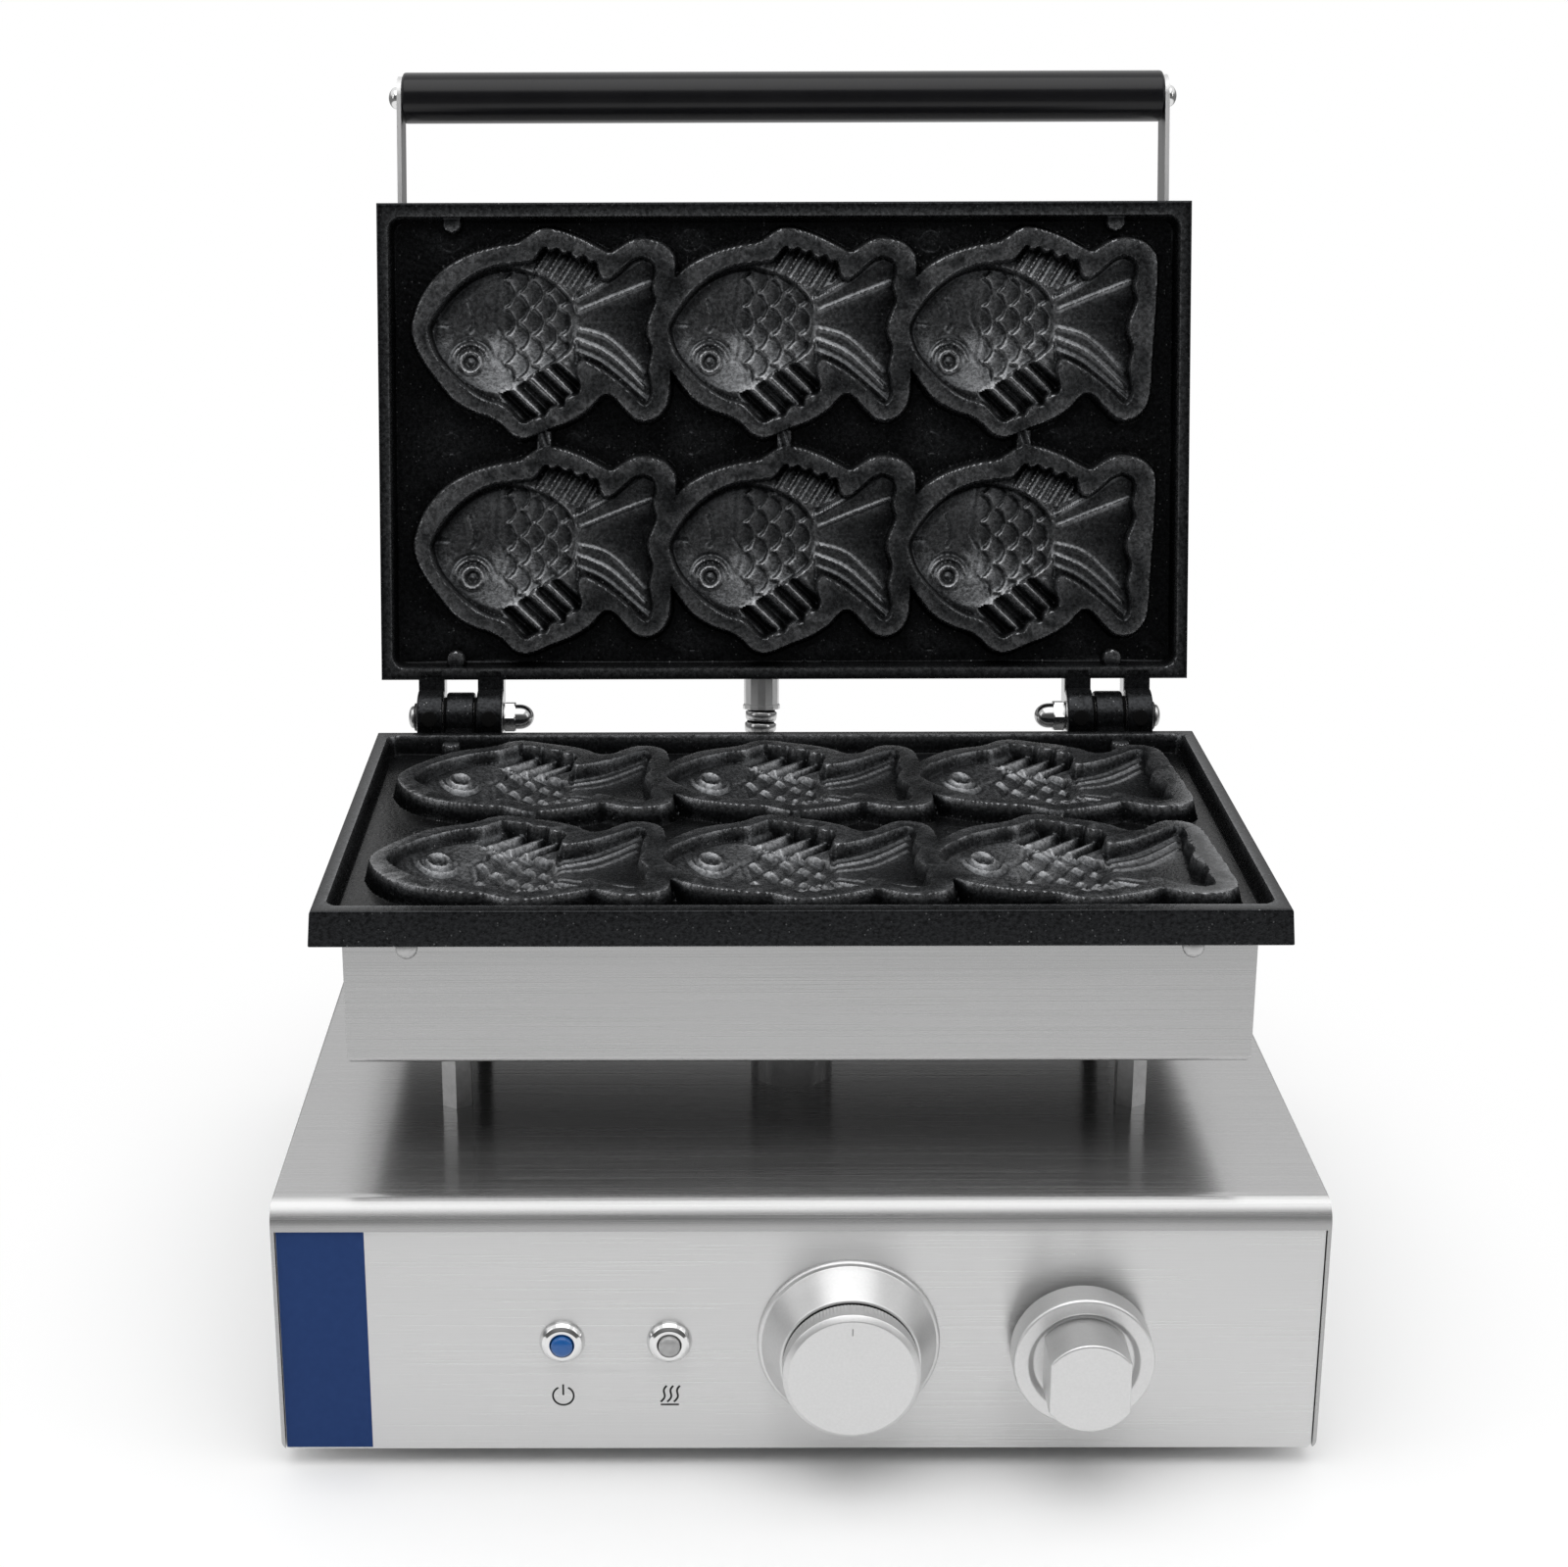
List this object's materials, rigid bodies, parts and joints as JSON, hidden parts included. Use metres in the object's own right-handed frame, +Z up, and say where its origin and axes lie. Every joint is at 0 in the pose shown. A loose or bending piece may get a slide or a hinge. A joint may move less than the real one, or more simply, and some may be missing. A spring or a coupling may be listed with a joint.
{
  "type": "fish waffle maker",
  "caption": "Countertop fish waffle maker: cast fish moulds in two hinged heated plates on a sheet steel base with timer and thermostat knobs.",
  "frame": {"origin": "under the middle of the whole machine, on the surface it stands on", "axes": "+Z up, controls face -Y, +X to the right seen from the front"},
  "size_m": [0.41, 0.4086, 0.518],
  "materials": {
    "brushed_steel": "brushed along the width",
    "satin_steel": "satin",
    "zinc_steel": "zinc plated",
    "chrome": "polished",
    "cast_aluminium": "dark cast, fine sparkle",
    "satin_knob": "satin",
    "black_gloss": "glossy",
    "grey_plastic": "moulded",
    "black_rubber": "matt",
    "ceramic": "glazed ceramic",
    "element_sheath": "oxidised",
    "blue_lens": "clear tinted",
    "clear_lens": "clear"
  },
  "bodies": {
    "base": {"base_cover": "brushed_steel", "control_panel": "brushed_steel", "base_pan": "zinc_steel", "foot_front_left": "black_rubber", "foot_front_right": "black_rubber", "foot_rear_left": "black_rubber", "foot_rear_right": "black_rubber", "power_lamp_bezel": "chrome", "power_lamp_lens": "blue_lens", "heat_lamp_bezel": "chrome", "heat_lamp_lens": "clear_lens", "timer_bezel": "satin_knob", "timer_body": "grey_plastic", "thermostat_body": "zinc_steel", "terminal_block": "ceramic", "cable_gland": "black_gloss", "standoff_front_left": "zinc_steel", "standoff_front_right": "zinc_steel", "standoff_rear_left": "zinc_steel", "standoff_rear_right": "zinc_steel", "wire_post": "satin_steel", "lower_plate": "cast_aluminium", "lower_casing": "satin_steel", "lower_element": "element_sheath", "lower_element_bar": "zinc_steel", "lower_screw_front_left": "zinc_steel", "lower_screw_rear_left": "zinc_steel", "lower_screw_front_right": "zinc_steel", "lower_screw_rear_right": "zinc_steel", "conduit_lower_fitting": "satin_steel", "flexible_conduit": "zinc_steel"},
    "lid": {"upper_plate": "cast_aluminium", "upper_casing": "satin_steel", "upper_element": "element_sheath", "upper_element_bar": "zinc_steel", "upper_screw_front_left": "zinc_steel", "upper_screw_rear_left": "zinc_steel", "upper_screw_front_right": "zinc_steel", "upper_screw_rear_right": "zinc_steel", "handle_grip": "black_gloss", "left_arm": "satin_steel", "left_grip_screw": "chrome", "left_arm_screw_1": "zinc_steel", "left_arm_screw_2": "zinc_steel", "right_arm": "satin_steel", "right_grip_screw": "chrome", "right_arm_screw_1": "zinc_steel", "right_arm_screw_2": "zinc_steel", "conduit_upper_fitting": "satin_steel", "left_hinge_bolt": "zinc_steel", "left_hinge_washer": "black_gloss", "left_hinge_acorn_nut": "chrome", "right_hinge_bolt": "zinc_steel", "right_hinge_washer": "black_gloss", "right_hinge_acorn_nut": "chrome"},
    "timer_knob": {"timer_knob": "satin_knob"},
    "thermostat_knob": {"thermostat_knob": "satin_knob"}
  },
  "joints": [
    {"name": "lid", "type": "hinge", "parent": "base", "child": "lid", "pos_m": [0, 0.08961, 0.2302], "axis": [1, 0, 0], "range_deg": [0, 102.7], "deforming": ["flexible_conduit"]},
    {"name": "timer_turn", "type": "hinge", "parent": "base", "child": "timer_knob", "pos_m": [0.0192, -0.17029, 0.056], "axis": [0, 1, 0], "range_deg": [0, 300]},
    {"name": "thermostat_turn", "type": "hinge", "parent": "base", "child": "thermostat_knob", "pos_m": [0.1093, -0.17029, 0.056], "axis": [0, 1, 0], "range_deg": [0, 300]}
  ]
}
